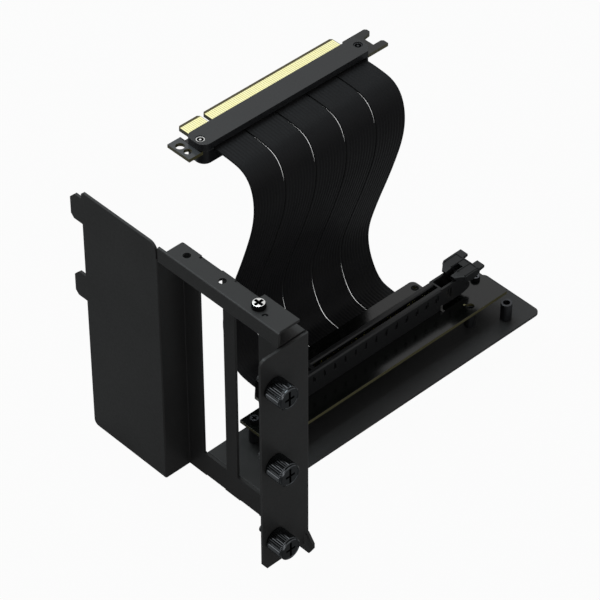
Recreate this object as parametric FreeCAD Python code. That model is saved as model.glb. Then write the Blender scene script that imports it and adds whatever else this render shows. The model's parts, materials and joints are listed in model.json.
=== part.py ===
import FreeCAD, Part
import math
import os

V = FreeCAD.Vector

# A mount that stands a graphics card upright in a computer case. A folded sheet
# frame closes the case's card openings, a tray carries the riser board with its
# card slot, and a flat ribbon cable runs to a plug for the main board's slot.
# X runs along the card into the case, Y towards the main board, Z up the openings.
# All lengths are in millimetres and all angles in degrees.

# Sheet metal
sheet = 1.2
bend = 0.3
bend_edge = 0.7
slot_pitch = 20.32

# Frame plate, with the two openings for the card's sockets
plate_h = 118.75
plate_w = 69.0
window_w = 13.85
window_low = 12.25
window_high = 115.35
window_1_y = -15.9
foot_notch_w = 11.5
foot_notch_h = 0.45

# Side wall and cover plate
wall_depth = 13.06
cover_w = 45.0
cover_h = 125.7
cover_low_corner = 2.5
cover_top_corner = 4.0
cover_step = 1.0
cover_over = 7.8
slit_w = 0.8

# Hook tabs on the cover plate's edge
tab_out = 7.0
tab_h = 13.2
tab_low_z = 68.45
tab_chamfer = 3.0
tab_bevel = 1.8

# Folded shelf above the openings: web, lip and ledge
lip_h = 6.3
fold_start = 0.3
fold_web_len = 68.1
fold_lip_len = 68.2
web_notch = 0.5
peg_in = 0.5
peg_w = 3.5
peg_drop = 2.2
ledge_start = 5.1
ledge_end = 67.9
ledge_steps = ((15.5, 3.5), (27.4, 5.2), (35.0, 3.5), (48.5, 4.6), (68.5, 1.3))
card_hole_r = 1.65
card_hole_x = 5.36
card_hole_1_y = -11.5
web_opening_l = 15.0
web_opening_x = (1.5, 10.5)

# Screw flange and its tongue
flange_w = 23.7
flange_low = 6.05
flange_drop = 0.4
flange_corner = 3.0
screw_z = 61.1
screw_x = -17.2
flange_hole_r = 1.84
relief_z = 11.0
relief_r = 0.8
tongue_out = 4.5
tongue_h = 11.0

# Thumbscrews
knob_r = 5.1
knob_l = 9.2
knob_teeth = 20
knob_tooth = 0.3
knob_chamfer = 0.8
shank_r = 1.76
shank_l = 8.0
slot_long = 7.6
slot_short = 4.8
slot_wide = 1.1
slot_deep = 1.6
screw_gap = 0.05

# Screw that holds a card
card_screw_head_r = 2.9
card_screw_head_h = 2.2
card_screw_r = 1.58
card_screw_l = 5.0
recess_across = 3.6
recess_wide = 1.0
recess_deep = 1.4

# Base tray
tray_top = 12.25
tray_l = 162.5
tray_y = -9.8
tray_w = 34.4
tray_corner = 3.0
tray_flange_h = 9.5

# Standoffs and their screws
standoff_r = 2.55
standoff_bore = 1.5
standoff_h = 9.0
spare_standoff = (148.5, -36.9)
board_screw_head_r = 2.15
board_screw_head_h = 1.9
board_screw_r = 1.45
board_screw_l = 6.6

# Riser board
board_t = 1.6
board_front = -33.2
board_back = -0.6
board_x0 = 16.3
board_x1 = 152.5
board_hole_r = 1.65
board_step_y = -13.2
board_holes = ((20.1, -17.8), (148.2, -18.4), (134.4, -29.2))
ear_x0 = 30.3
ear_x1 = 128.3
ear_slope = 6.3
ear_root = 4.0
ear_corner = 2.5
ear_hole = (125.4, -4.8)
ear_hole_r = 0.9

# Card slot
slot_y = -18.7
slot_w = 7.4
slot_h = 11.25
slot_ramp = 0.6
slot_x0 = 36.4
slot_end = 124.4
mouth_x0 = 38.5
mouth_l = 85.0
mouth_w = 2.0
mouth_lead = 0.6
mouth_spread = 0.5
chamber_w = 4.6
chamber_floor = 2.2
lip_t = 1.7
key_w = 1.9
pins_short = 11
pins_long = 71
pin_pitch = 1.0
key_gap = 3.0
rib_pitch = 5.88
rib_at = 67.3
rib_w = 1.2
rib_deep = 0.6
rib_low = 5.6
rib_high = 3.2
end_groove_x = 128.2
end_groove_w = 1.4
end_groove_deep = 0.6
end_groove_low = 7.0
end_groove_high = 2.0

# Latch at the slot's end
cheek_end = 140.6
cheek_t = 1.1
cheek_lift = 1.7
latch_gap = 0.2
pivot_x = 138.0
pivot_up = 4.7
pivot_r = 0.9
pivot_play = 0.05
ear_in = 142.4
ear_out = 145.7
ear_y = 7.1
ear_w = 4.3
head_back = 7.0
latch_top = 2.9
latch_bottom = 0.25

# Ribbon cable: five flat strips between the riser board and the plug
strip_w = 16.3
strip_t = 1.0
strip_slit = 0.45
strip_count = 5
strip_x0 = 35.5
route = ((21.3, 134.85), (12.8, 134.85), (2.5, 133.3), (-2.65, 124.7), (-2.65, 109.6),
         (4.1, 87.2), (12.6, 63.8), (17.9, 46.4), (16.4, 34.4), (10.2, 24.9),
         (2.2, 23.35), (-5.5, 23.35))
arc_share = 0.45

# Plug: board with contact fingers between two covers
plug_z = 134.85
plug_t = 1.6
plug_back = 21.3
plug_root = 31.5
plug_ear_x = 23.3
plug_ear_in = 30.2
plug_ear_end = 34.3
plug_ear_hole = (26.25, 30.05)
plug_ear_hole_r = 1.95
plug_small_hole = (26.3, 25.45)
plug_small_hole_r = 1.7
plug_fork_x = 127.5
plug_fork_out = 14.8
plug_fork_y0 = 24.7
plug_fork_y1 = 30.6
plug_fork_end = 34.8
plug_fork_in = 1.7
tongue_x = 75.75
tongue_l = 84.3
tongue_edge = 39.8
plug_notch_w = 1.9
plug_chamfer = 0.9
finger_w = 0.7
finger_l = 6.87
finger_t = 0.05
finger_rim = 1.33
cover_x0 = 29.5
cover_x1 = 122.5
cover_y0 = 20.0
cover_y1 = 30.85
cover_top_t = 3.4
cover_bottom_t = 4.8
cover_corner = 4.0
cover_back_corner = 3.2
plug_screws = ((32.5, 24.95), (119.8, 25.8))
plug_screw_r = 1.2
plug_screw_head_r = 1.9
plug_screw_head_h = 1.2
plug_play = 0.05

# The part's origin: the middle thumbscrew's axis on the flange's seating face.
origin = V(screw_x, -plate_w, screw_z)

# Heights and places that follow from the sizes above
cover_face = -wall_depth
cover_joint = sheet + bend + 0.2
ledge_top = plate_h + lip_h
board_z = tray_top + standoff_h
board_top = board_z + board_t
slot_top = board_top + slot_h
pivot_z = board_top + pivot_up
screw_pitch = 2 * slot_pitch
plug_top = plug_z + plug_t / 2
plug_low = plug_z - plug_t / 2
strip_pitch = strip_w + strip_slit


def box(x0, x1, y0, y1, z0, z1):
    """A block between two corners."""
    return Part.makeBox(x1 - x0, y1 - y0, z1 - z0, V(x0, y0, z0))


def rod(r, length, at, direction):
    """A round bar from one point along a direction."""
    return Part.makeCylinder(r, length, V(*at), V(*direction))


def in_plane(plane, a, b, level):
    """The space point of a drawing point in a plane across X, Y or Z."""
    if plane == "X":
        return V(level, a, b)
    if plane == "Y":
        return V(a, level, b)
    return V(a, b, level)


def outline(points, plane, level=0.0):
    """A closed wire through corners, each (a, b) sharp or (a, b, radius) round."""
    edges = []
    ends = []
    count = len(points)
    for i in range(count):
        here = V(points[i][0], points[i][1], 0)
        radius = points[i][2] if len(points[i]) > 2 else 0
        if radius <= 0:
            ends.append((here, None, here))
            continue
        before = points[i - 1]
        after = points[(i + 1) % count]
        u = (V(before[0], before[1], 0) - here).normalize()
        v = (V(after[0], after[1], 0) - here).normalize()
        half = u.getAngle(v) / 2
        reach = radius / math.tan(half)
        middle = (u + v).normalize() * (radius / math.sin(half) - radius)
        ends.append((here + u * reach, here + middle, here + v * reach))
    for i in range(count):
        start, middle, stop = ends[i]
        a = in_plane(plane, start.x, start.y, level)
        b = in_plane(plane, stop.x, stop.y, level)
        if middle is not None:
            m = in_plane(plane, middle.x, middle.y, level)
            edges.append(Part.Arc(a, m, b).toShape())
        nxt = ends[(i + 1) % count][0]
        c = in_plane(plane, nxt.x, nxt.y, level)
        if b.distanceToPoint(c) > 1e-6:
            edges.append(Part.LineSegment(b, c).toShape())
    return Part.Wire(edges)


def slab(points, plane, low, high):
    """A plate with a drawn outline, between two levels along the plane's normal."""
    face = Part.Face(outline(points, plane, low))
    return face.extrude(in_plane(plane, 0, 0, high - low))


def left_of(p, q, shift):
    """The line p to q moved to its left by shift."""
    run = V(q[0] - p[0], q[1] - p[1], 0).normalize()
    side = V(-run.y, run.x, 0) * shift
    return V(p[0], p[1], 0) + side, run


def folded(path, thick, inner, outer):
    """The outline of a bent sheet: its right-hand face follows path, its bends are round."""
    far = []
    turns = []
    for i, p in enumerate(path):
        if i == 0:
            far.append(left_of(path[0], path[1], thick)[0])
            turns.append(0)
            continue
        if i == len(path) - 1:
            start, run = left_of(path[-2], path[-1], thick)
            far.append(V(p[0], p[1], 0) + start - V(path[-2][0], path[-2][1], 0))
            turns.append(0)
            continue
        a, u = left_of(path[i - 1], p, thick)
        b, v = left_of(p, path[i + 1], thick)
        cross = u.x * v.y - u.y * v.x
        step = ((b.x - a.x) * v.y - (b.y - a.y) * v.x) / cross
        far.append(a + u * step)
        turns.append(cross)
    points = []
    for p, turn in zip(path, turns):
        radius = 0 if turn == 0 else (outer if turn > 0 else inner)
        points.append((p[0], p[1], radius))
    for p, turn in reversed(list(zip(far, turns))):
        radius = 0 if turn == 0 else (inner if turn > 0 else outer)
        points.append((p.x, p.y, radius))
    return points


def hook_tab(low):
    """A tab that hooks behind the case's edge, beside the cover plate."""
    y = cover_w + tab_out
    points = [(cover_w - 2, low), (y - tab_bevel, low), (y, low + tab_bevel),
              (y, low + tab_h - tab_chamfer), (y - tab_chamfer, low + tab_h),
              (cover_w - 2, low + tab_h)]
    return slab(points, "X", cover_face, cover_face + sheet)


def frame_strip():
    """Side wall, frame plate and flange, bent from one strip, from the cover plate's bend on."""
    path = [(cover_face, cover_joint + 0.5), (cover_face, 0), (0, 0), (0, -plate_w),
            (-flange_w, -plate_w)]
    return slab(folded(path, sheet, bend, bend_edge), "Z", 0, plate_h)


def cover_plate():
    """The cover plate; its upper end stands clear of the folded shelf by a slit."""
    slit_foot = cover_h - cover_over
    points = [(cover_joint, 0), (cover_w, 0, cover_low_corner), (cover_w, cover_h - cover_step),
              (cover_w - cover_step, cover_h - cover_step), (cover_w - cover_step, cover_h),
              (slit_w, cover_h, cover_top_corner), (slit_w, slit_foot),
              (cover_joint, slit_foot - 1)]
    return slab(points, "X", cover_face, cover_face + sheet)


def flange_trim():
    """The waste round the flange: what lies outside its outline."""
    top = plate_h - flange_drop
    keep = [(-flange_w, flange_low + 3.2), (-flange_w + 2.1, flange_low), (3, flange_low),
            (3, top), (-flange_w, top, flange_corner)]
    room = box(-flange_w - 1, sheet + 1, -plate_w - sheet - 1, -plate_w + 0.5, -1, plate_h + 1)
    room = room.cut(box(-1, sheet + 2, -plate_w, -plate_w + 1, -2, plate_h + 2))
    return room.cut(slab(keep, "Y", -plate_w - sheet - 2, -plate_w + 1))


def tongue():
    """The frame plate's foot that reaches past the flange."""
    y = -plate_w
    points = [(y + 3, 0), (y - tongue_out / 2, 0), (y - tongue_out, 4.0, 0.8),
              (y - tongue_out, tongue_h * 0.6, 0.8), (y - sheet, tongue_h), (y + 3, tongue_h)]
    return slab(points, "X", 0, sheet)


def shelf():
    """The web, lip and ledge that are folded from the frame plate's top."""
    turn_z = ledge_top - sheet
    path = [(sheet, plate_h - 4), (sheet, plate_h), (cover_face + sheet, plate_h),
            (cover_face + sheet, turn_z), (-1.3, turn_z)]
    web_end = -fold_start - fold_web_len
    lip_end = -fold_start - fold_lip_len
    section = folded(path, sheet, bend, bend_edge)
    fold = slab(section, "Y", min(web_end, lip_end), -fold_start)
    inside = cover_face + sheet + 0.01
    past = min(web_end, lip_end, -ledge_end) - 1
    waste = [box(inside, sheet + 1, past, web_end, plate_h - 5, plate_h + 1),
             box(cover_face - 1, inside, past, lip_end, plate_h - 5, ledge_top + 1),
             box(cover_face + sheet, 2, past, -ledge_end, plate_h + 1, ledge_top + 1),
             box(cover_face + sheet, 2, -ledge_start, 1, plate_h + 1, ledge_top + 1)]
    near = ledge_start
    for far, edge in ledge_steps:
        waste.append(box(-edge, 2, -far, -near, turn_z - 1, ledge_top + 1))
        near = far
    for i in range(3):
        y = card_hole_1_y - i * slot_pitch
        x = cover_face + card_hole_x
        waste.append(rod(card_hole_r, 4, (x, y, turn_z - 1), (0, 0, 1)))
        half = web_opening_l / 2
        waste.append(box(-web_opening_x[1], -web_opening_x[0], y - half, y + half,
                         plate_h - 3, plate_h + 1))
    for piece in waste:
        fold = fold.cut(piece)
    near = lip_end + peg_in + peg_w
    far = lip_end + peg_in
    peg = [(near, plate_h + 1), (near, plate_h - peg_drop), (far, plate_h - peg_drop),
           (far, plate_h + 1)]
    return fold.fuse(slab(peg, "X", cover_face, cover_face + sheet))


def window(y):
    """An opening for a card's sockets, with the shallow notch in the foot below it."""
    half = window_w / 2
    hole = box(-1, sheet + 1, y - half, y + half, window_low, window_high)
    foot = foot_notch_w / 2
    return hole.fuse(box(-1, sheet + 1, y - foot, y + foot, -1, foot_notch_h))


def bracket_frame():
    """The whole folded frame as one piece of sheet."""
    body = frame_strip()
    body = body.cut(flange_trim())
    top = plate_h - sheet - bend
    web_end = -fold_start - fold_web_len
    body = body.cut(box(-0.5, sheet + 0.5, web_end, -fold_start - 1.2, top, plate_h + 1))
    body = body.cut(box(-1.5, sheet + 1, -plate_w - sheet - 1, -plate_w + bend, -1, relief_z))
    body = body.fuse([cover_plate(), shelf(), tongue(), hook_tab(tab_low_z),
                      hook_tab(tab_low_z + screw_pitch)])
    body = body.removeSplitter()
    corner = box(-2.2, sheet + 1, -fold_start - 1.2, 0, top, plate_h + 1)
    body = body.cut(corner)
    end = box(-2.2, sheet + 1, web_end - web_notch, web_end, top, plate_h + 1)
    body = body.cut(end)
    body = body.cut(rod(relief_r, 3, (-1, -plate_w - 0.5, relief_z - relief_r), (1, 0, 0)))
    for i in range(2):
        body = body.cut(window(window_1_y - i * slot_pitch))
    for i in (-1, 0, 1):
        at = (screw_x, -plate_w + 1, screw_z + i * screw_pitch)
        body = body.cut(rod(flange_hole_r, sheet + 2, at, (0, -1, 0)))
    return body.removeSplitter()


def base_tray():
    """The tray, with the flange that is welded behind the frame's foot."""
    low = tray_top - tray_flange_h
    path = [(sheet, low), (sheet, tray_top), (tray_l, tray_top)]
    section = folded(path[::-1], sheet, bend, bend_edge)
    tray = slab(section, "Y", tray_y - tray_w, tray_y)
    r = tray_corner
    for y, side in ((tray_y, -1), (tray_y - tray_w, 1)):
        y0, y1 = sorted((y - 0.5 * side, y + r * side))
        corner = box(tray_l - r, tray_l + 1, y0, y1, 0, tray_top + 1)
        corner = corner.cut(rod(r, 30, (tray_l - r, y + r * side, -5), (0, 0, 1)))
        tray = tray.cut(corner)
    return tray


def standoff(at):
    """A round threaded post on the tray."""
    post = rod(standoff_r, standoff_h, (at[0], at[1], tray_top), (0, 0, 1))
    bore = rod(standoff_bore, standoff_h + 1, (at[0], at[1], tray_top), (0, 0, 1))
    return post.cut(bore)


def pan_screw(at, top, head_r, head_h, r, length):
    """A pan-head screw, its head standing on a surface."""
    x, y = at
    rim = head_h * 0.45
    profile = [V(x, y, top - length), V(x + r, y, top - length), V(x + r, y, top),
               V(x + head_r, y, top), V(x + head_r, y, top + rim),
               V(x + head_r * 0.72, y, top + head_h), V(x, y, top + head_h)]
    turned = Part.Face(Part.makePolygon(profile + profile[:1]))
    return turned.revolve(V(x, y, 0), V(0, 0, 1), 360)


def cross_recess(at, top):
    """The driver's cross that is pressed into the card screw's head."""
    x, y = at
    arm = recess_across / 2
    wide = recess_wide / 2
    deep = top - recess_deep
    cross = box(x - arm, x + arm, y - wide, y + wide, deep, top + 1)
    return cross.fuse(box(x - wide, x + wide, y - arm, y + arm, deep, top + 1))


def thumb_screw(z):
    """A knurled screw that is turned by hand, its axis along Y."""
    face = -plate_w - sheet - screw_gap
    tip = face - knob_l
    stars = []
    for shrink in (0, knob_chamfer):
        star = []
        for i in range(2 * knob_teeth):
            angle = math.pi * i / knob_teeth
            r = knob_r - shrink if i % 2 == 0 else knob_r - knob_tooth - shrink
            star.append((screw_x + r * math.cos(angle), z + r * math.sin(angle)))
        stars.append(star)
    knob = slab(stars[0], "Y", tip + knob_chamfer, face)
    rim = [outline(stars[0], "Y", tip + knob_chamfer), outline(stars[1], "Y", tip)]
    knob = knob.fuse(Part.makeLoft(rim, True, True))
    screw = knob.fuse(rod(shank_r, shank_l + 1, (screw_x, face - 1, z), (0, 1, 0)))
    half = slot_wide / 2
    screw = screw.cut(box(screw_x - half, screw_x + half, tip - 1, tip + slot_deep,
                          z - slot_long / 2, z + slot_long / 2))
    screw = screw.cut(box(screw_x - slot_short / 2, screw_x + slot_short / 2, tip - 1,
                          tip + slot_deep, z - half, z + half))
    return screw.removeSplitter()


def riser_board():
    """The board that carries the card slot and takes the ribbon's solder pads."""
    points = [(board_x0, board_front), (board_x1, board_front), (board_x1, board_step_y),
              (ear_x1, board_step_y), (ear_x1, board_back, ear_corner),
              (ear_x0 + ear_slope, board_back), (ear_x0, board_back - ear_slope),
              (ear_x0, board_step_y + ear_root), (ear_x0 - ear_root * 0.7, board_step_y),
              (board_x0, board_step_y)]
    board = slab(points, "Z", board_z, board_top)
    for at in board_holes:
        board = board.cut(rod(board_hole_r, board_t + 2, (at[0], at[1], board_z - 1), (0, 0, 1)))
    return board.cut(rod(ear_hole_r, board_t + 2, (*ear_hole, board_z - 1), (0, 0, 1)))


def key_centre(first):
    """The middle of the key between the short and the long row of contacts."""
    return first + (pins_short - 1) * pin_pitch + key_gap / 2


def mouth_first():
    """The first contact's place: the row stands in the middle of the mouth."""
    row = (pins_short + pins_long - 2) * pin_pitch + key_gap
    return mouth_x0 + (mouth_l - row) / 2


def slot_housing():
    """The card slot's moulded body, with the walls that hold the latch."""
    y0 = slot_y - slot_w / 2
    y1 = slot_y + slot_w / 2
    shoulder = slot_top - slot_ramp
    end = [(y0, board_top), (y1, board_top), (y1, shoulder), (y1 - slot_ramp, slot_top),
           (y0 + slot_ramp, slot_top), (y0, shoulder)]
    body = slab(end, "X", slot_x0, slot_end)
    low = board_top + cheek_lift
    side = [(slot_end - 1, low), (pivot_x - 1.5, low), (cheek_end - 1.2, pivot_z - 2.2),
            (cheek_end, pivot_z - 1.2), (cheek_end, pivot_z + 0.6),
            (pivot_x + 0.6, pivot_z + 3.4, 1.5), (pivot_x - 4.2, slot_top),
            (slot_end - 1, slot_top)]
    body = body.fuse(slab(side, "Y", y0, y1))
    channel = slot_w / 2 - cheek_t
    floor = low + 1.2
    body = body.cut(box(slot_end, cheek_end + 1, slot_y - channel, slot_y + channel,
                        floor, slot_top + 1))
    body = body.cut(box(pivot_x - 3.6, cheek_end + 1, slot_y - channel, slot_y + channel,
                        low - 1, slot_top + 1))
    body = body.cut(rod(pivot_r + pivot_play, slot_w + 2, (pivot_x, y0 - 1, pivot_z), (0, 1, 0)))
    key = key_centre(mouth_first())
    half = mouth_w / 2
    wide = chamber_w / 2
    for a, b in ((mouth_x0, key - key_w / 2), (key + key_w / 2, mouth_x0 + mouth_l)):
        body = body.cut(box(a, b, slot_y - half, slot_y + half, board_top + chamber_floor,
                            slot_top + 1))
        body = body.cut(box(a, b, slot_y - wide, slot_y + wide, board_top + chamber_floor,
                            slot_top - lip_t))
        brim = half + mouth_spread
        lead = [(slot_y - brim, slot_top + 0.01), (slot_y + brim, slot_top + 0.01),
                (slot_y + half, slot_top - mouth_lead), (slot_y - half, slot_top - mouth_lead)]
        body = body.cut(slab(lead, "X", a, b))
    start = rib_at - rib_pitch * math.floor((rib_at - slot_x0 - 1) / rib_pitch)
    places = []
    while start < slot_end - 1:
        places.append(start)
        start += rib_pitch
    for x in places:
        for wall in (y0, y1):
            body = body.cut(box(x - rib_w / 2, x + rib_w / 2, wall - rib_deep, wall + rib_deep,
                                slot_top - rib_low, slot_top - rib_high))
    for wall in (y0, y1):
        body = body.cut(box(end_groove_x, end_groove_x + end_groove_w, wall - end_groove_deep,
                            wall + end_groove_deep, slot_top - end_groove_low,
                            slot_top - end_groove_high))
    return body.removeSplitter()


def slot_nails():
    """The two metal feet that are soldered beside the slot's end."""
    pieces = []
    for side in (-1, 1):
        y = slot_y + side * slot_w / 2
        foot = [(y, board_top), (y + side * 1.6, board_top), (y + side * 1.6, board_top + 0.3),
                (y + side * 0.3, board_top + 0.3), (y + side * 0.3, board_top + 2.4),
                (y, board_top + 2.4)]
        pieces.append(slab(foot, "X", slot_end - 1.4, slot_end - 0.2))
    return Part.makeCompound(pieces)


def slot_latch():
    """The lever that holds a card's hook: a head with two finger ears on a stem."""
    top = slot_top + latch_top
    low = slot_top + latch_bottom
    back = pivot_x - head_back
    half = slot_w / 2
    wide = ear_y - 0.1
    head = [(back, slot_y - half), (back + 4, slot_y - wide), (ear_in, slot_y - ear_y),
            (ear_out, slot_y - ear_y), (ear_out, slot_y - ear_y + ear_w),
            (ear_in, slot_y - ear_y + ear_w), (ear_in, slot_y + ear_y - ear_w),
            (ear_out, slot_y + ear_y - ear_w), (ear_out, slot_y + ear_y), (ear_in, slot_y + ear_y),
            (back + 4, slot_y + wide), (back, slot_y + half)]
    lever = slab(head, "Z", low, top)
    cut = [(back - 1, low - 1), (back + 1.5, low - 1), (back + 1.5, low + 0.1),
           (back - 1, low + 1.4)]
    lever = lever.cut(slab(cut, "Y", slot_y - 10, slot_y + 10))
    thin = [(back - 1, top - 1.0), (back + 5, top + 0.01), (back - 1, top + 0.01)]
    lever = lever.cut(slab(thin, "Y", slot_y - 10, slot_y + 10))
    under = [(ear_in + 0.6, low - 1), (ear_out + 1, low - 1), (ear_out + 1, low + 1.6),
             (ear_in + 0.6, low + 0.9)]
    lever = lever.cut(slab(under, "Y", slot_y - 10, slot_y + 10))
    stem_w = slot_w / 2 - cheek_t - latch_gap
    stem = [(pivot_x - 2.4, low + 0.5), (ear_in, low + 0.5), (ear_in - 0.9, pivot_z + 2.6),
            (pivot_x + 1.9, pivot_z - 1.4, 1.2), (pivot_x - 1.6, pivot_z - 1.6),
            (pivot_x - 2.4, pivot_z + 1.6), (pivot_x - 4.0, pivot_z + 2.9),
            (pivot_x - 2.4, pivot_z + 3.8)]
    lever = lever.fuse(slab(stem, "Y", slot_y - stem_w, slot_y + stem_w))
    lever = lever.cut(box(back - 1, pivot_x + 0.4, slot_y - 1.5, slot_y + 1.5, low - 1, top + 1))
    lever = lever.fuse(slab(stem, "Y", slot_y - stem_w, slot_y + stem_w).common(
        box(back, ear_in, slot_y - 5, slot_y + 5, pivot_z - 5, low)))
    for side in (-1, 1):
        inner = slot_y + side * (half + latch_gap)
        outer = slot_y + side * (half + 3.0)
        fan = [(back + 3.2, top - 0.6), (ear_in, top - 0.3), (ear_in, low - 1.1),
               (ear_in - 4.2, low - 2.2, 3.0), (back + 3.4, low + 0.4)]
        y0, y1 = sorted((inner, outer))
        lever = lever.fuse(slab(fan, "Y", y0, y1))
    reach = half - cheek_t * 0.15
    lever = lever.fuse(rod(pivot_r, 2 * reach, (pivot_x, slot_y - reach, pivot_z), (0, 1, 0)))
    return lever.removeSplitter()


def strip_face():
    """One strip seen from its edge: runs joined by tangent arcs, given its thickness."""
    points = [V(0, y, z) for y, z in route]
    sides = ([], [])
    length = 0.0
    last = points[0]
    for i in range(1, len(points) - 1):
        u = (points[i - 1] - points[i])
        v = (points[i + 1] - points[i])
        reach = arc_share * min(u.Length, v.Length)
        u.normalize()
        v.normalize()
        half = u.getAngle(v) / 2
        radius = reach * math.tan(half)
        turn = math.pi - 2 * half
        start = points[i] + u * reach
        stop = points[i] + v * reach
        centre = points[i] + (u + v).normalize() * (radius / math.sin(half))
        middle = centre - (u + v).normalize() * radius
        length += last.distanceToPoint(start) + radius * turn
        last = stop
        print(f"bend {i}: radius {radius:.1f}")
        for side, sign in ((sides[0], 1), (sides[1], -1)):
            arc = []
            for p in (start, middle, stop):
                out = (p - centre).normalize()
                inward = 1 if (u.y * v.z - u.z * v.y) > 0 else -1
                arc.append(p + out * (sign * inward * strip_t / 2))
            side.append(arc)
    length += last.distanceToPoint(points[-1])
    first = (points[1] - points[0]).normalize()
    final = (points[-1] - points[-2]).normalize()
    edges = []
    caps = []
    for side, sign in ((sides[0], 1), (sides[1], -1)):
        begin = points[0] + V(0, -first.z, first.y) * (sign * strip_t / 2)
        close = points[-1] + V(0, -final.z, final.y) * (sign * strip_t / 2)
        at = begin
        for start, middle, stop in side:
            edges.append(Part.LineSegment(at, start).toShape())
            edges.append(Part.Arc(start, middle, stop).toShape())
            at = stop
        edges.append(Part.LineSegment(at, close).toShape())
        caps.append((begin, close))
    edges.append(Part.LineSegment(caps[0][0], caps[1][0]).toShape())
    edges.append(Part.LineSegment(caps[0][1], caps[1][1]).toShape())
    wire = Part.Wire(Part.__sortEdges__(edges))
    print(f"strip length {length:.1f}")
    return Part.Face(wire), length


def ribbon_strips():
    """The five flat strips side by side."""
    face, length = strip_face()
    strips = []
    for i in range(strip_count):
        x = strip_x0 + i * strip_pitch
        strip = face.translated(V(x, 0, 0)).extrude(V(strip_w, 0, 0))
        strips.append(strip)
    want = length * strip_w * strip_t
    print(f"strip volume {strips[0].Volume:.1f}, section times length {want:.1f}")
    return strips


def plug_board():
    """The plug's board: contact tongue, ear with two holes, and fork."""
    x0 = tongue_x - tongue_l / 2
    x1 = tongue_x + tongue_l / 2
    row = (pins_short + pins_long - 2) * pin_pitch + key_gap
    key = key_centre(tongue_x - row / 2)
    half = plug_notch_w / 2
    c = plug_chamfer
    fork = x1 + plug_fork_out
    points = [(plug_ear_x, plug_back), (fork, plug_back), (fork, plug_fork_y0 - c),
              (fork - c, plug_fork_y0), (plug_fork_x, plug_fork_y0), (plug_fork_x, plug_fork_y1),
              (fork - c, plug_fork_y1 + 0.7), (fork, plug_fork_y1 + 1.6),
              (fork, plug_fork_end - c), (fork - c, plug_fork_end),
              (x1 + plug_fork_in, plug_fork_end), (x1 + plug_fork_in, plug_root - 0.3),
              (x1, plug_root - 0.3), (x1, tongue_edge - c), (x1 - c, tongue_edge),
              (key + half + c, tongue_edge), (key + half, tongue_edge - c),
              (key + half, plug_root, 0.9), (key - half, plug_root, 0.9),
              (key - half, tongue_edge - c), (key - half - c, tongue_edge),
              (x0 + c, tongue_edge), (x0, tongue_edge - c), (x0, plug_root),
              (plug_ear_in, plug_root), (plug_ear_in, plug_ear_end), (plug_ear_x, plug_ear_end)]
    board = slab(points, "Z", plug_low, plug_top)
    holes = [(*plug_ear_hole, plug_ear_hole_r), (*plug_small_hole, plug_small_hole_r)]
    holes += [(x, y, plug_screw_r + plug_play) for x, y in plug_screws]
    for x, y, r in holes:
        board = board.cut(rod(r, plug_t + 2, (x, y, plug_low - 1), (0, 0, 1)))
    return board


def finger_row(level):
    """One face's gold contacts, as the two fields on either side of the key."""
    row = (pins_short + pins_long - 2) * pin_pitch + key_gap
    start = tongue_x - row / 2
    split = start + (pins_short - 1) * pin_pitch
    far = tongue_edge - finger_rim
    fields = []
    for a, b in ((start, split), (split + key_gap, start + row)):
        fields.append(box(a - finger_w / 2, b + finger_w / 2, far - finger_l, far,
                          level, level + finger_t))
    return Part.makeCompound(fields)


def cover_outline():
    """The plug cover seen from above."""
    r = cover_corner
    return [(cover_x0, cover_y0, r), (cover_x1 - 2.5, cover_y0), (cover_x1, cover_y0 + 2.6),
            (cover_x1, cover_y1), (cover_x0, cover_y1, cover_back_corner)]


def plug_cover_top():
    """The upper cover, counterbored for the two screws."""
    cover = slab(cover_outline(), "Z", plug_top, plug_top + cover_top_t)
    low = plug_top + cover_top_t - plug_screw_head_h - 0.4
    for x, y in plug_screws:
        cover = cover.cut(rod(plug_screw_r + plug_play, 10, (x, y, plug_top - 1), (0, 0, 1)))
        cover = cover.cut(rod(plug_screw_head_r + 0.1, 10, (x, y, low), (0, 0, 1)))
    room = cover_y0 + 1.5
    cover = cover.cut(box(strip_x0 - 0.4, strip_x0 + strip_count * strip_pitch, cover_y0 - 1, room,
                          plug_top - 1, plug_top + 0.4))
    return cover


def plug_cover_bottom():
    """The lower cover, with the end lugs that close the gap beside the ribbon."""
    cover = slab(cover_outline(), "Z", plug_low - cover_bottom_t, plug_low)
    wide = strip_count * strip_pitch - strip_slit
    lugs = slab(cover_outline(), "Z", plug_low, plug_top)
    lugs = lugs.cut(box(strip_x0 - 0.3, strip_x0 + wide + 0.3, 0, 60, 0, 200))
    lugs = lugs.cut(box(0, 200, plug_back, 60, 0, 200))
    return cover.fuse(lugs).removeSplitter()


def plug_screw(at):
    """A screw that holds the covers together."""
    x, y = at
    low = plug_top + cover_top_t - plug_screw_head_h - 0.4
    head = rod(plug_screw_head_r, plug_screw_head_h, (x, y, low), (0, 0, 1))
    length = low - plug_low
    return head.fuse(rod(plug_screw_r, length, (x, y, low - length), (0, 0, 1)))


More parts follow.
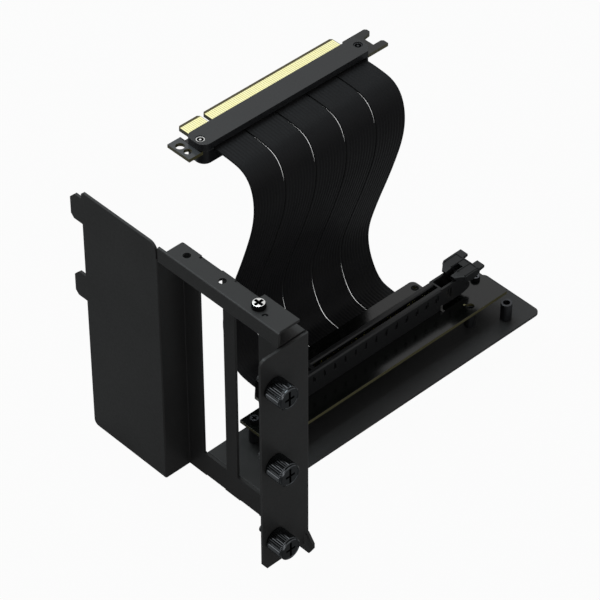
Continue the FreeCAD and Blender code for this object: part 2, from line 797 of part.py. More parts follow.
def nodes():
    """Every separate piece under its own name."""
    card_x = cover_face + card_hole_x
    strips = ribbon_strips()
    places = [standoff(at) for at in board_holes] + [standoff(spare_standoff)]
    held = board_holes[:2]
    screws = [pan_screw(at, board_top, board_screw_head_r, board_screw_head_h, board_screw_r,
                        board_screw_l) for at in held]
    card_at = (card_x, card_hole_1_y - 2 * slot_pitch)
    card_screw = pan_screw(card_at, ledge_top, card_screw_head_r, card_screw_head_h,
                           card_screw_r, card_screw_l)
    card_screw = card_screw.cut(cross_recess(card_at, ledge_top + card_screw_head_h))
    out = {
        "bracket_frame": bracket_frame(),
        "base_tray": base_tray(),
        "tray_standoffs": Part.makeCompound(places),
        "board_screws": Part.makeCompound(screws),
        "card_screw": card_screw,
        "thumb_screw_top": thumb_screw(screw_z + screw_pitch),
        "thumb_screw_middle": thumb_screw(screw_z),
        "thumb_screw_bottom": thumb_screw(screw_z - screw_pitch),
        "riser_board": riser_board(),
        "slot_housing": slot_housing(),
        "slot_nails": slot_nails(),
        "slot_latch": slot_latch(),
        "plug_board": plug_board(),
        "plug_fingers_top": finger_row(plug_top),
        "plug_fingers_bottom": finger_row(plug_low - finger_t),
        "plug_cover_top": plug_cover_top(),
        "plug_cover_bottom": plug_cover_bottom(),
        "plug_screw_left": plug_screw(plug_screws[0]),
        "plug_screw_right": plug_screw(plug_screws[1]),
    }
    for i, strip in enumerate(strips):
        out[f"ribbon_strip_{i + 1}"] = strip
    return out


os.makedirs("parts", exist_ok=True)
for name, shape in nodes().items():
    placed = shape.translated(V(0, 0, 0) - origin)
    placed.exportStep(f"parts/{name}.step")
    box_of = placed.BoundBox
    print(f"{name}: {len(placed.Solids)} solids, valid {placed.isValid()}, volume {placed.Volume:.1f}, "
          f"{box_of.XMin:.1f} {box_of.XMax:.1f} {box_of.YMin:.1f} {box_of.YMax:.1f} "
          f"{box_of.ZMin:.1f} {box_of.ZMax:.1f}")
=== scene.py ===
import json
import math

import bmesh
import bpy
from mathutils import Matrix, Vector

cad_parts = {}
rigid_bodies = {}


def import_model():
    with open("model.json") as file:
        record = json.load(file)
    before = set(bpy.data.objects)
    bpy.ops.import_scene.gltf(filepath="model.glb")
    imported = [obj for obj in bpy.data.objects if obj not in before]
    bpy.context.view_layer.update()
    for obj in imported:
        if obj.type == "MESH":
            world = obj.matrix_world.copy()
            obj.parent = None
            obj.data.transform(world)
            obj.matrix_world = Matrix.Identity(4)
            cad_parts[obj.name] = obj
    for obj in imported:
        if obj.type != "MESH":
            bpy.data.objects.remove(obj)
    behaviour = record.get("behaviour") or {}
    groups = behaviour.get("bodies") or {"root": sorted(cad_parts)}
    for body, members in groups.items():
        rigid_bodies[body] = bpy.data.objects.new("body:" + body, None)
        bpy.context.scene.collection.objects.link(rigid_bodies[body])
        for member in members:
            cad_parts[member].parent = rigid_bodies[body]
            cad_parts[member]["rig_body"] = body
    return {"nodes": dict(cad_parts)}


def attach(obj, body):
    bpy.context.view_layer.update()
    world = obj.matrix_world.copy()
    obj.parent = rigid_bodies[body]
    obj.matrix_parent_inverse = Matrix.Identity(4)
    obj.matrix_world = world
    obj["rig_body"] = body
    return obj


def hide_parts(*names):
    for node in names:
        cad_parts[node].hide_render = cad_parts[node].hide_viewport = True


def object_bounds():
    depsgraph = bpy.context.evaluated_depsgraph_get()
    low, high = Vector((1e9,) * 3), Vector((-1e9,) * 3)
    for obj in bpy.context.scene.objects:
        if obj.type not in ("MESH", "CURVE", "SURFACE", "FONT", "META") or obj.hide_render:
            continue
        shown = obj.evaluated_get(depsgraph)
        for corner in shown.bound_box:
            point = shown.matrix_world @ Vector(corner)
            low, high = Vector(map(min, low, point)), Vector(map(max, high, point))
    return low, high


# Looks of a mount that stands a graphics card upright in a computer case.
# Lengths are in metres in the part's own frame: X along the card, Y towards the
# main board, Z up the card openings. The floor is where the frame's foot stands.

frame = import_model()
cad_low, cad_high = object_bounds()
nodes = frame["nodes"]
scene = bpy.context.scene
floor_z = cad_low[2]
mm = 0.001


def linear(hex_code):
    """An sRGB hex colour as linear red, green, blue and alpha."""
    parts = []
    for i in (0, 2, 4):
        v = int(hex_code[i:i + 2], 16) / 255
        parts.append(v / 12.92 if v <= 0.04045 else ((v + 0.055) / 1.055) ** 2.4)
    return (*parts, 1.0)


# Camera at the photograph's angle: where it stands, and the way it looks and leans.
camera_at = Vector((-0.606905, -0.662166, 0.885636))
camera_az = 0.8167369
camera_el = 0.7286642
camera_roll = 0.00372458

ahead = Vector((math.cos(camera_el) * math.cos(camera_az),
                math.cos(camera_el) * math.sin(camera_az), -math.sin(camera_el)))
level = ahead.cross(Vector((0, 0, 1))).normalized()
down = ahead.cross(level)
right = level * math.cos(camera_roll) + down * math.sin(camera_roll)
down = down * math.cos(camera_roll) - level * math.sin(camera_roll)
turn = Matrix((right, -down, -ahead)).transposed()
lens = bpy.data.cameras.new("Camera")
lens.sensor_width = 36
lens.lens = 195.8
lens.clip_start = 0.01
camera = bpy.data.objects.new("Camera", lens)
camera.matrix_world = Matrix.Translation(camera_at) @ turn.to_4x4()
scene.collection.objects.link(camera)
scene.camera = camera
scene.view_settings.view_transform = "Standard"


# Materials

def node(tree, kind, inputs=None, **settings):
    """Adds a node with its settings; an input is a value or another node's output."""
    new = tree.nodes.new(kind)
    for key, value in settings.items():
        setattr(new, key, value)
    for key, value in (inputs or {}).items():
        if isinstance(value, bpy.types.NodeSocket):
            tree.links.new(value, new.inputs[key])
        else:
            new.inputs[key].default_value = value
    return new


def material(name, roughness, metallic=0.0, color=None, **sockets):
    """A named material with its shader, ready for the nodes that feed it."""
    made = bpy.data.materials.new(name)
    made.use_nodes = True
    tree = made.node_tree
    tree.nodes.clear()
    shader = node(tree, "ShaderNodeBsdfPrincipled", {"Roughness": roughness, "Metallic": metallic})
    if color:
        shader.inputs["Base Color"].default_value = linear(color)
    for key, value in sockets.items():
        shader.inputs[key.replace("_", " ")].default_value = value
    out = node(tree, "ShaderNodeOutputMaterial")
    tree.links.new(shader.outputs[0], out.inputs["Surface"])
    place = node(tree, "ShaderNodeTexCoord")
    return made, tree, shader, place.outputs["Object"]


def steel_coat():
    """Polyester powder coat baked on sheet steel: a matte black skin with a fine pebbled
    grain that breaks up highlights. The grain, 0.3 mm on the real one, is drawn at 0.9 mm."""
    made, tree, shader, place = material("powder_coated_steel", 0.42)
    shader.inputs["Specular IOR Level"].default_value = 0.2
    grain = node(tree, "ShaderNodeTexNoise", {"Vector": place, "Scale": 1 / (0.9 * mm), "Detail": 3.0})
    cloud = node(tree, "ShaderNodeTexNoise", {"Vector": place, "Scale": 1 / (28 * mm), "Detail": 2.0})
    tone = node(tree, "ShaderNodeValToRGB", {"Fac": cloud.outputs["Fac"]})
    tone.color_ramp.elements[0].position = 0.3
    tone.color_ramp.elements[0].color = linear("2B2B2B")
    tone.color_ramp.elements[1].position = 0.7
    tone.color_ramp.elements[1].color = linear("313131")
    tree.links.new(tone.outputs["Color"], shader.inputs["Base Color"])
    rough = node(tree, "ShaderNodeMapRange", {"Value": grain.outputs["Fac"], "From Min": 0.3,
                                              "From Max": 0.7, "To Min": 0.36, "To Max": 0.48})
    tree.links.new(rough.outputs[0], shader.inputs["Roughness"])
    bump = node(tree, "ShaderNodeBump", {"Height": grain.outputs["Fac"], "Strength": 0.25,
                                         "Distance": 0.04 * mm})
    tree.links.new(bump.outputs[0], shader.inputs["Normal"])
    return made


def screw_black():
    """Black zinc plating on turned steel: dark metal, with thin bright lines along the
    knurl's crests, and soft patches where fingers have rubbed it."""
    made, tree, shader, place = material("black_zinc_steel", 0.2, 1.0, "3A3C3E")
    grain = node(tree, "ShaderNodeTexNoise", {"Vector": place, "Scale": 1 / (0.7 * mm), "Detail": 2.0})
    rough = node(tree, "ShaderNodeMapRange", {"Value": grain.outputs["Fac"], "From Min": 0.3,
                                              "From Max": 0.7, "To Min": 0.1, "To Max": 0.2})
    tree.links.new(rough.outputs[0], shader.inputs["Roughness"])
    return made


def screw_bright(name, color, low, high):
    """Plated steel, from bright nickel to dull black: metal with soft small scratches."""
    made, tree, shader, place = material(name, low, 1.0, color)
    grain = node(tree, "ShaderNodeTexNoise", {"Vector": place, "Scale": 1 / (0.5 * mm), "Detail": 3.0})
    rough = node(tree, "ShaderNodeMapRange", {"Value": grain.outputs["Fac"], "From Min": 0.3,
                                              "From Max": 0.7, "To Min": low, "To Max": high})
    tree.links.new(rough.outputs[0], shader.inputs["Roughness"])
    return made


def painted_shade_coat():
    """Painted shade: a near-black, almost shineless colour standing for the shade in screws' rims,
    shanks and recesses, in the slot's notches and in the ledge's mark, with a faint random mottle; it also
    colours the ring round the board's ear hole."""
    made, tree, shader, place = material("painted_shade_black", 0.6)
    shader.inputs["Specular IOR Level"].default_value = 0.04
    cloud = node(tree, "ShaderNodeTexNoise", {"Vector": place, "Scale": 1 / (0.6 * mm), "Detail": 2.0})
    tone = node(tree, "ShaderNodeMixRGB", {"Fac": cloud.outputs["Fac"], "Color1": linear("050506"),
                                           "Color2": linear("0C0C0D")})
    tree.links.new(tone.outputs[0], shader.inputs["Base Color"])
    return made


def board_mask():
    """Glass-fibre laminate under black solder mask: smooth dark green-black faces with a
    faint weave, raw olive edges where the board was routed, bare brown laminate round the
    plug's gold contacts, and a plain grey patch on the ear at the board's far left."""
    made, tree, shader, place = material("solder_masked_laminate", 0.17)
    shader.inputs["Specular IOR Level"].default_value = 0.4
    weave = node(tree, "ShaderNodeTexWave", {"Vector": place, "Scale": 1 / (9.0 * mm),
                                             "Distortion": 0.6, "Detail": 1.0})
    noise = node(tree, "ShaderNodeTexNoise", {"Vector": place, "Scale": 1 / (14 * mm)})
    face = node(tree, "ShaderNodeMixRGB", {"Fac": noise.outputs["Fac"], "Color1": linear("030403"),
                                           "Color2": linear("060806")})
    fibre = node(tree, "ShaderNodeTexNoise", {"Vector": place, "Scale": 1 / (0.8 * mm), "Detail": 2.0})
    edge = node(tree, "ShaderNodeMixRGB", {"Fac": fibre.outputs["Fac"], "Color1": linear("4E4B36"),
                                           "Color2": linear("6A6648")})
    facing = node(tree, "ShaderNodeNewGeometry")
    apart = node(tree, "ShaderNodeSeparateXYZ", {"Vector": facing.outputs["Normal"]})
    up = node(tree, "ShaderNodeMath", {0: apart.outputs["Z"]}, operation="ABSOLUTE")
    flat = node(tree, "ShaderNodeMath", {0: up.outputs[0], 1: 0.5}, operation="GREATER_THAN")
    spot = node(tree, "ShaderNodeSeparateXYZ", {"Vector": place})
    beyond = node(tree, "ShaderNodeMath", {0: spot.outputs["Y"], 1: 100.6 * mm}, operation="GREATER_THAN")
    within = node(tree, "ShaderNodeMath", {0: spot.outputs["X"], 1: 93 * mm, 2: 43 * mm}, operation="COMPARE")
    tongue = node(tree, "ShaderNodeMath", {0: beyond.outputs[0], 1: within.outputs[0]}, operation="MULTIPLY")
    bare = node(tree, "ShaderNodeMixRGB", {"Fac": tongue.outputs[0], "Color1": face.outputs[0],
                                           "Color2": linear("4A400F")})
    # A plain grey patch where X is below 46.7 mm and Y beyond 85 mm: the board's far left ear.
    left = node(tree, "ShaderNodeMath", {0: spot.outputs["X"], 1: 46.7 * mm}, operation="LESS_THAN")
    far = node(tree, "ShaderNodeMath", {0: spot.outputs["Y"], 1: 85 * mm}, operation="GREATER_THAN")
    ear = node(tree, "ShaderNodeMath", {0: left.outputs[0], 1: far.outputs[0]}, operation="MULTIPLY")
    grey_ear = node(tree, "ShaderNodeMixRGB", {"Fac": ear.outputs[0], "Color1": bare.outputs[0],
                                           "Color2": linear("46484A")})
    both = node(tree, "ShaderNodeMixRGB", {"Fac": flat.outputs[0], "Color1": edge.outputs[0],
                                           "Color2": grey_ear.outputs[0]})
    tree.links.new(both.outputs[0], shader.inputs["Base Color"])
    bump = node(tree, "ShaderNodeBump", {"Height": weave.outputs["Fac"], "Strength": 0.05,
                                         "Distance": 0.02 * mm})
    tree.links.new(bump.outputs[0], shader.inputs["Normal"])
    return made


def gold_plate():
    """Hard gold over nickel on copper: warm yellow metal, smooth, slightly cloudy."""
    made, tree, shader, place = material("hard_gold_plate", 0.25, 1.0)
    noise = node(tree, "ShaderNodeTexNoise", {"Vector": place, "Scale": 1 / (3 * mm), "Detail": 2.0})
    tone = node(tree, "ShaderNodeMixRGB", {"Fac": noise.outputs["Fac"], "Color1": linear("FFF9B4"),
                                           "Color2": linear("FFFDCC")})
    tree.links.new(tone.outputs[0], shader.inputs["Base Color"])
    return made


def moulded(name, dark, pale, low, high, specular, grain_mm):
    """Injection-moulded glass-filled nylon: dull black with a fine spark-eroded grain,
    and paler where the fill comes to the surface."""
    made, tree, shader, place = material(name, low)
    shader.inputs["Specular IOR Level"].default_value = specular
    grain = node(tree, "ShaderNodeTexNoise", {"Vector": place, "Scale": 1 / (grain_mm * mm), "Detail": 3.0})
    cloud = node(tree, "ShaderNodeTexNoise", {"Vector": place, "Scale": 1 / (12 * mm), "Detail": 2.0})
    tone = node(tree, "ShaderNodeMixRGB", {"Fac": cloud.outputs["Fac"], "Color1": linear(dark),
                                           "Color2": linear(pale)})
    tree.links.new(tone.outputs[0], shader.inputs["Base Color"])
    rough = node(tree, "ShaderNodeMapRange", {"Value": grain.outputs["Fac"], "From Min": 0.3,
                                              "From Max": 0.7, "To Min": low, "To Max": high})
    tree.links.new(rough.outputs[0], shader.inputs["Roughness"])
    bump = node(tree, "ShaderNodeBump", {"Height": grain.outputs["Fac"], "Strength": 0.15,
                                         "Distance": 0.03 * mm})
    tree.links.new(bump.outputs[0], shader.inputs["Normal"])
    return made


def ribbon_jacket():
    """Soft extruded jacket round fine twin cables: matte black, smooth along its length,
    with small dull patches from handling."""
    made, tree, shader, place = material("extruded_cable_jacket", 0.47)
    shader.inputs["Specular IOR Level"].default_value = 0.05
    cloud = node(tree, "ShaderNodeTexNoise", {"Vector": place, "Scale": 1 / (20 * mm), "Detail": 2.0})
    tone = node(tree, "ShaderNodeMixRGB", {"Fac": cloud.outputs["Fac"], "Color1": linear("1D1D1E"),
                                           "Color2": linear("252526")})
    tree.links.new(tone.outputs[0], shader.inputs["Base Color"])
    rough = node(tree, "ShaderNodeMapRange", {"Value": cloud.outputs["Fac"], "From Min": 0.3,
                                              "From Max": 0.7, "To Min": 0.42, "To Max": 0.52})
    tree.links.new(rough.outputs[0], shader.inputs["Roughness"])
    return made


coat = steel_coat()
zinc = screw_black()
nickel = screw_bright("nickel_plated_steel", "D8D8D6", 0.18, 0.3)
dark_steel = screw_bright("blackened_steel", "3A3B3D", 0.3, 0.45)
worn_steel = screw_bright("worn_blackened_steel", "505154", 0.25, 0.4)
dull_zinc = screw_bright("dull_black_zinc_steel", "3A3B3D", 0.34, 0.46)
tinned = screw_bright("tinned_solder_foot", "6E6E6D", 0.4, 0.55)
painted_shade = painted_shade_coat()
mask = board_mask()
gold = gold_plate()
slot_nylon = moulded("moulded_slot_nylon", "101011", "171819", 0.36, 0.48, 0.22, 0.8)
latch_nylon = moulded("moulded_latch_nylon", "101112", "17181A", 0.38, 0.5, 0.24, 0.8)
cover_nylon = moulded("moulded_cover_plastic", "0D0E10", "131416", 0.38, 0.5, 0.37, 0.8)
jacket = ribbon_jacket()

finishes = {
    "bracket_frame": (coat, "powder_coat"),
    "base_tray": (coat, "powder_coat"),
    "tray_standoffs": (dull_zinc, "black_zinc"),
    "board_screws": (dark_steel, "dark_screw"),
    "card_screw": (nickel, "nickel_screw"),
    "thumb_screw_top": (zinc, "black_zinc"),
    "thumb_screw_middle": (zinc, "black_zinc"),
    "thumb_screw_bottom": (zinc, "black_zinc"),
    "riser_board": (mask, "board_laminate"),
    "slot_housing": (slot_nylon, "slot_plastic"),
    "slot_nails": (tinned, "nickel_screw"),
    "slot_latch": (latch_nylon, "latch_plastic"),
    "plug_board": (mask, "board_laminate"),
    "plug_fingers_top": (gold, "bare_pad"),
    "plug_fingers_bottom": (gold, "bare_pad"),
    "plug_cover_top": (cover_nylon, "cover_plastic"),
    "plug_cover_bottom": (cover_nylon, "cover_plastic"),
    "plug_screw_left": (nickel, "nickel_screw"),
    "plug_screw_right": (dark_steel, "dark_screw"),
}


# Meshes

def finished(bm, name, finish, body, sharp=50):
    """The bmesh as an object with its material, riding on its body."""
    bmesh.ops.remove_doubles(bm, verts=bm.verts, dist=1e-7)
    bmesh.ops.recalc_face_normals(bm, faces=bm.faces)
    for face in bm.faces:
        face.smooth = True
    mesh = bpy.data.meshes.new(name)
    bm.to_mesh(mesh)
    bm.free()
    mesh.set_sharp_from_angle(angle=math.radians(sharp))
    mesh.materials.append(finish)
    made = bpy.data.objects.new(name, mesh)
    scene.collection.objects.link(made)
    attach(made, body)
    return made


def eased(name, width, segments=2, turned=35):
    """A CAD node's own shape with its sharp edges eased, as bent sheet and moulding have."""
    finish, slot = finishes[name]
    bm = bmesh.new()
    bm.from_mesh(nodes[name].data)
    bmesh.ops.remove_doubles(bm, verts=bm.verts, dist=2e-6)
    bmesh.ops.dissolve_limit(bm, angle_limit=math.radians(0.5), use_dissolve_boundaries=False,
                             verts=bm.verts, edges=bm.edges, delimit=set())
    edges = [e for e in bm.edges if e.is_manifold
             and e.calc_face_angle(0.0) > math.radians(turned)]
    bmesh.ops.bevel(bm, geom=edges, offset=width, offset_type="OFFSET", affect="EDGES",
                    segments=segments, profile=0.5, material=-1, clamp_overlap=True)
    made = finished(bm, "eased_" + name, finish, nodes[name]["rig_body"])
    even = made.modifiers.new("Even normals", "WEIGHTED_NORMAL")
    even.keep_sharp = True
    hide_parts(name)
    return made


# Ribbon: five ridged strips on one route, from the plug down to the riser board.
route = ((90.3, 73.75), (81.8, 73.75), (71.5, 72.2), (66.35, 63.6), (66.35, 48.5),
         (73.1, 26.1), (81.6, 2.7), (86.9, -14.7), (85.6, -27.2), (79.9, -37.9),
         (73.4, -40.36), (63.5, -40.36))
strip_wide = 16.0 * mm
strip_thick = 1.0 * mm
strip_pitch = 16.75 * mm
strip_first = 52.85 * mm
strip_count = 5
strip_ridges = 10


def route_line():
    """The route's smooth line as points in the YZ plane."""
    curve = bpy.data.curves.new("ribbon_route", "CURVE")
    curve.dimensions = "3D"
    spline = curve.splines.new("NURBS")
    spline.points.add(len(route) - 1)
    for point, (y, z) in zip(spline.points, route):
        point.co = (0, y * mm, z * mm, 1)
    spline.order_u = 3
    spline.use_endpoint_u = True
    spline.resolution_u = 10
    holder = bpy.data.objects.new("ribbon_route", curve)
    mesh = bpy.data.meshes.new_from_object(holder)
    points = [v.co.copy() for v in mesh.vertices]
    bpy.data.objects.remove(holder)
    bpy.data.curves.remove(curve)
    bpy.data.meshes.remove(mesh)
    return points


def strip_profile(bm, middle_x, start, side):
    """The strip's ridged section round the start point, as a closed ring of edges."""
    pitch = strip_wide / strip_ridges
    deep = 0.16 * mm
    half = strip_thick / 2
    edge = strip_wide / 2
    corner = ((0, 0.46 * mm), (0.04 * mm, 0.485 * mm), (0.1 * mm, 0.495 * mm))
    top = [(inset - edge, high) for inset, high in corner]
    for i in range(strip_ridges):
        x = -edge + (i + 0.5) * pitch
        if i > 0:
            top.append((x - pitch * 0.5, half - deep))
            top.append((x - pitch * 0.32, half - deep * 0.2))
        top.append((x, half))
        if i < strip_ridges - 1:
            top.append((x + pitch * 0.32, half - deep * 0.2))
    top += [(edge - inset, high) for inset, high in reversed(corner)]
    low = [(x, -h) for x, h in reversed(top)]
    ring = [bm.verts.new(start + Vector((middle_x + x, 0, 0)) + side * h) for x, h in top + low]
    return [bm.edges.new((ring[i - 1], ring[i])) for i in range(len(ring))]


def ribbon_strip(index, line):
    """One strip: its section carried along the route, step by step."""
    middle_x = strip_first + strip_wide / 2 + index * strip_pitch
    runs = []
    for i in range(len(line)):
        a = line[max(i - 1, 0)]
        b = line[min(i + 1, len(line) - 1)]
        runs.append((b - a).normalized())
    bm = bmesh.new()
    side = Vector((1, 0, 0)).cross(runs[0]).normalized()
    ring = strip_profile(bm, middle_x, line[0], side)
    first = bmesh.ops.contextual_create(bm, geom=ring)["faces"]
    for i in range(1, len(line)):
        grown = bmesh.ops.extrude_edge_only(bm, edges=ring)["geom"]
        verts = [g for g in grown if isinstance(g, bmesh.types.BMVert)]
        ring = [g for g in grown if isinstance(g, bmesh.types.BMEdge)
                and all(v in verts for v in g.verts)]
        swing = runs[i - 1].rotation_difference(runs[i]).to_matrix()
        bmesh.ops.translate(bm, verts=verts, vec=-line[i - 1])
        bmesh.ops.rotate(bm, verts=verts, cent=(0, 0, 0), matrix=swing)
        bmesh.ops.translate(bm, verts=verts, vec=line[i])
    bmesh.ops.contextual_create(bm, geom=ring)
    name = f"ribbon_strip_{index + 1}"
    made = finished(bm, "ridged_" + name, jacket, nodes[name]["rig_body"], 60)
    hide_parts(name)
    return made, [p + Vector((middle_x, 0, 0)) for p in line]


line = route_line()
strips = [ribbon_strip(i, line) for i in range(strip_count)]


# Screws: heads with a sunk cross, straight knurls and threads.

def turned(bm, profile, centre, along, steps):
    """Adds a round solid; profile is (radius, place along the axis) from end to end."""
    out = along.orthogonal().normalized()
    verts = [bm.verts.new(centre + out * r + along * h) for r, h in profile]
    edges = [bm.edges.new(pair) for pair in zip(verts, verts[1:])]
    bmesh.ops.spin(bm, geom=verts + edges, cent=centre, axis=along, angle=math.tau,
                   steps=steps, use_merge=True)


def thread(radius, start, stop, pitch):
    """A thread's profile as ridges, from start to stop along the axis."""
    deep = 0.15 * pitch + 0.05 * mm
    count = int(abs(stop - start) / pitch)
    step = (stop - start) / count
    points = []
    for i in range(count):
        points.append((radius - deep, start + i * step))
        points.append((radius, start + (i + 0.5) * step))
    points.append((radius - deep, stop))
    return points


def cross(long_arm, short_arm, wide):
    """A cross's corners, its long arm along the second axis."""
    w = wide / 2
    return [(w, w), (w, long_arm), (-w, long_arm), (-w, w), (-short_arm, w), (-short_arm, -w),
            (-w, -w), (-w, -long_arm), (w, -long_arm), (w, -w), (short_arm, -w), (short_arm, w)]


def sunk(bm, centre, along, across, corners, deep):
    """Closes the open ring at the front face with a recess, whose walls and floor take the second material,
    painted shade.
    """
    second = along.cross(across)
    rim = [e for e in bm.edges if e.is_boundary]
    verts = [bm.verts.new(centre + across * a + second * b) for a, b in corners]
    edges = [bm.edges.new((verts[i - 1], verts[i])) for i in range(len(verts))]
    bmesh.ops.triangle_fill(bm, use_beauty=True, edges=rim + edges)
    before = set(bm.faces)
    grown = bmesh.ops.extrude_edge_only(bm, edges=edges)["geom"]
    low = [g for g in grown if isinstance(g, bmesh.types.BMVert)]
    foot = [g for g in grown if isinstance(g, bmesh.types.BMEdge) and all(v in low for v in g.verts)]
    bmesh.ops.translate(bm, verts=low, vec=-along * deep)
    bmesh.ops.contextual_create(bm, geom=foot)
    # The recess's walls and floor are painted shade.
    for face in bm.faces:
        if face not in before:
            face.material_index = 1


def knurled_screw(name, z):
    """A thumbscrew: straight knurl, a smooth ring, and a face set back inside the rim."""
    axis = Vector((0, -1, 0))
    centre = Vector((0, 0, z))
    profile = [(0, -6.75 * mm), (1.3 * mm, -6.75 * mm)]
    profile += thread(1.76 * mm, -6.5 * mm, 0.6 * mm, 0.8 * mm)
    profile += [(1.76 * mm, 1.25 * mm), (4.5 * mm, 1.25 * mm), (4.75 * mm, 1.4 * mm),
                (5.1 * mm, 1.8 * mm), (5.1 * mm, 8.9 * mm), (4.72 * mm, 9.2 * mm),
                (4.95 * mm, 9.5 * mm), (4.95 * mm, 10.0 * mm), (4.6 * mm, 10.4 * mm),
                (4.35 * mm, 10.45 * mm), (4.1 * mm, 10.42 * mm), (3.95 * mm, 10.2 * mm)]
    bm = bmesh.new()
    turned(bm, profile, centre, axis, 3 * knurl_teeth)
    for vert in bm.verts:
        around = math.atan2(vert.co.z - z, vert.co.x) / math.tau * 3 * knurl_teeth
        if 1.7 * mm < -vert.co.y < 9.0 * mm and round(around) % 3 == 0:
            vert.co.x *= 0.95
            vert.co.z = z + (vert.co.z - z) * 0.95
    sunk(bm, centre + axis * 10.2 * mm, axis, Vector((1, 0, 0)),
         cross(3.7 * mm, 2.4 * mm, 1.1 * mm), 1.6 * mm)
    made = finished(bm, "knurled_" + name, zinc, nodes[name]["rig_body"], 25)
    # The cross recess takes the painted shade.
    made.data.materials.append(painted_shade)
    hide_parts(name)


def pan_screws(name, places, radius, high, shank, long, arm, face_finish):
    """Pan-head screws on a level face, with a cross: the top in the face finish, the rim, shank and cross in
    painted shade.
    """
    up = Vector((0, 0, 1))
    bm = bmesh.new()
    for x, y, z in places:
        one = bmesh.new()
        centre = Vector((x, y, z)) * mm
        profile = [(0, -long), (shank * 0.8, -long)]
        profile += thread(shank, -long + 0.2 * mm, -0.3 * mm, 0.6 * mm)
        profile += [(shank, 0), (radius, 0), (radius, high * 0.55), (radius * 0.94, high * 0.82),
                    (radius * 0.9, high * 0.97), (radius * 0.86, high)]
        turned(one, profile, centre, up, 40)
        # The rim, shank and thread are painted shade; only the top keeps the face finish.
        for face in one.faces:
            face.material_index = 1
        sunk(one, centre + up * high, up, Vector((1, 0, 0)), cross(arm, arm, arm * 0.62), high * 0.6)
        part = bpy.data.meshes.new("one_screw")
        one.to_mesh(part)
        one.free()
        bm.from_mesh(part)
        bpy.data.meshes.remove(part)
    made = finished(bm, "crossed_" + name, face_finish, nodes[name]["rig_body"], 30)
    made.data.materials.append(painted_shade)
    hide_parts(name)


def cover_screw(name, x, y, ring_finish):
    """A cover's screw: a raised ring round a sunk floor with a pin in the middle."""
    up = Vector((0, 0, 1))
    top = 77.55 * mm
    centre = Vector((x * mm, y * mm, top))
    profile = [(0, 72.95 * mm - top), (1.2 * mm, 72.95 * mm - top), (1.2 * mm, -1.2 * mm),
               (1.9 * mm, -1.2 * mm), (1.9 * mm, -0.12 * mm), (1.8 * mm, 0), (1.45 * mm, 0),
               (1.35 * mm, -0.2 * mm), (1.3 * mm, -0.8 * mm), (0.55 * mm, -0.8 * mm),
               (0.5 * mm, -0.1 * mm), (0, -0.05 * mm)]
    bm = bmesh.new()
    turned(bm, profile, centre, up, 36)
    # The sunk floor and its inner walls are painted shade.
    for face in bm.faces:
        middle = face.calc_center_median() - centre
        if -0.9 * mm < middle.z < -0.12 * mm and middle.xy.length < 1.35 * mm:
            face.material_index = 1
    made = finished(bm, "ringed_" + name, ring_finish, nodes[name]["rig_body"], 30)
    made.data.materials.append(painted_shade)
    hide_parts(name)


knurl_teeth = 36
knurled_screw("thumb_screw_top", 40.64 * mm)
knurled_screw("thumb_screw_middle", 0)
knurled_screw("thumb_screw_bottom", -40.64 * mm)
pan_screws("card_screw", [(9.5, 16.86, 63.95)], 2.9 * mm, 2.2 * mm, 1.58 * mm, 5.0 * mm, 2.15 * mm,
           nickel)
pan_screws("board_screws", [(37.3, 51.2, -38.25), (165.4, 50.6, -38.25)], 2.15 * mm, 1.9 * mm,
           1.45 * mm, 6.6 * mm, 1.3 * mm, worn_steel)
cover_screw("plug_screw_left", 49.7, 93.95, nickel)
cover_screw("plug_screw_right", 137.0, 94.8, dark_steel)


# Contacts: gold leaves on the plug's tongue and in the slot.

def block(bm, low, high):
    """Adds a block between two corners."""
    size = [b - a for a, b in zip(low, high)]
    centre = [(a + b) / 2 for a, b in zip(low, high)]
    shape = Matrix.Translation(centre) @ Matrix.Diagonal((*size, 1))
    bmesh.ops.create_cube(bm, size=1.0, matrix=shape)


def prism(bm, corners, reach):
    """Adds a solid: a face through the corners, drawn out along a vector."""
    verts = [bm.verts.new(c) for c in corners]
    edges = [bm.edges.new((verts[i - 1], verts[i])) for i in range(len(verts))]
    face = bmesh.ops.contextual_create(bm, geom=edges)["faces"]
    grown = bmesh.ops.extrude_face_region(bm, geom=face, use_keep_orig=True)["geom"]
    bmesh.ops.translate(bm, verts=[g for g in grown if isinstance(g, bmesh.types.BMVert)], vec=reach)


def edge_fingers(name, low, high):
    """The tongue's contacts one by one; the gaps between them are 0.14 mm."""
    wide = 0.86 * mm
    bm = bmesh.new()
    for start, stop, count in ((51.1 * mm, 61.8 * mm, 11), (64.1 * mm, 134.8 * mm, 71)):
        step = (stop - start - wide) / (count - 1)
        for i in range(count):
            x = start + i * step
            block(bm, (x, 100.6 * mm, low), (x + wide, 107.47 * mm, high))
    made = finished(bm, "separate_" + name, gold, nodes[name]["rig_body"])
    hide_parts(name)


def slot_leaves(side):
    """One row of sprung contacts in the slot, bent towards the card's face."""
    leaf = ((2.25, -35.8), (2.25, -33.0), (1.4, -30.4), (1.95, -29.0), (1.8, -29.0), (1.25, -30.4),
            (2.1, -33.0), (2.1, -35.8))
    bm = bmesh.new()
    for first, count in ((56.7, 11), (69.7, 71)):
        for i in range(count):
            x = (first + i - 0.2) * mm
            corners = [(x, (50.3 + side * y) * mm, z * mm) for y, z in leaf]
            prism(bm, corners, (0.4 * mm, 0, 0))
    finished(bm, "slot_contacts_front" if side < 0 else "slot_contacts_back", gold,
             nodes["slot_housing"]["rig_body"])


def pad_ring(name, x, y, z, inner, outer, finish):
    """A flat ring round a hole in a board, in the given finish."""
    bm = bmesh.new()
    profile = [(inner, 0), (outer, 0), (outer, 0.04 * mm), (inner, 0.04 * mm), (inner, 0)]
    turned(bm, profile, Vector((x, y, z)) * mm, Vector((0, 0, 1)), 48)
    finished(bm, name, finish, nodes["riser_board"]["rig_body"])


